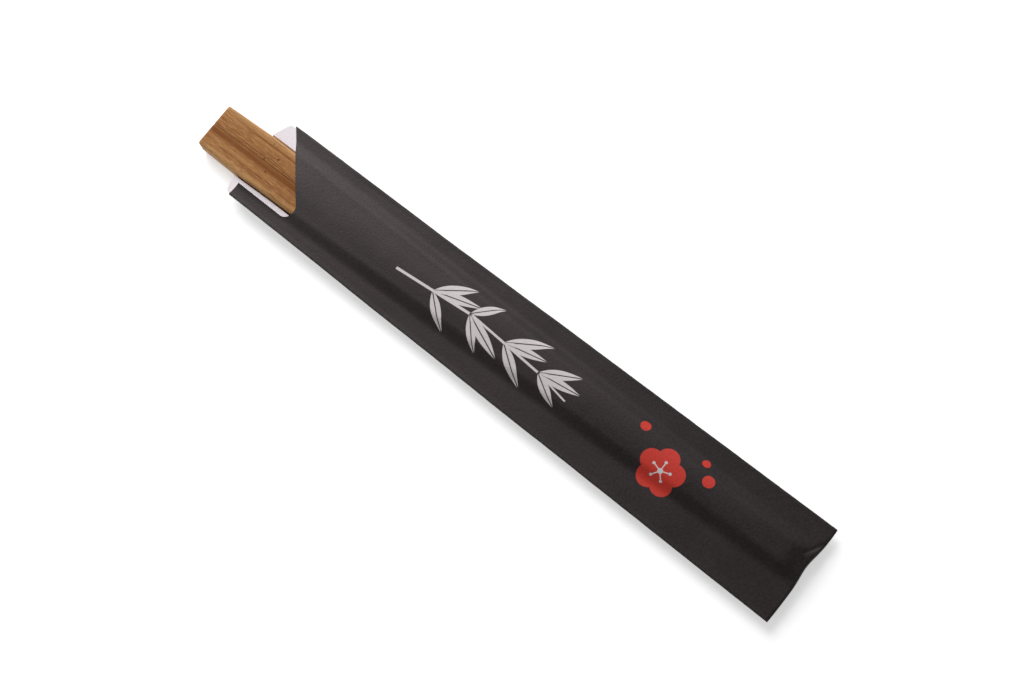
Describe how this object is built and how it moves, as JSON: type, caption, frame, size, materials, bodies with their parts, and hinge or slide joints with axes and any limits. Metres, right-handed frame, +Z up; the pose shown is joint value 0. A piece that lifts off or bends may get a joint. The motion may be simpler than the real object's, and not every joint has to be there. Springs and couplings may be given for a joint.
{
  "type": "bamboo chopsticks in paper sleeve",
  "caption": "Snap-apart bamboo chopsticks in a flat folded black paper sleeve, with a slanting cut at the mouth that bares the heads and a glued closed end.",
  "frame": {"origin": "under the middle of the whole length, on the surface it lies on", "axes": "+X from the chopstick heads to the sleeve's closed end, +Y across towards the edge where the slanting cut starts, +Z up out of the sleeve's front"},
  "size_m": [0.2167, 0.03, 0.006],
  "materials": {
    "bamboo": "sanded, unlacquered, grain along the length",
    "sleeve_paper": "matt black printed outside, white inside"
  },
  "bodies": {
    "root": {"chopstick_pair": "bamboo", "paper_sleeve": "sleeve_paper"}
  },
  "joints": []
}
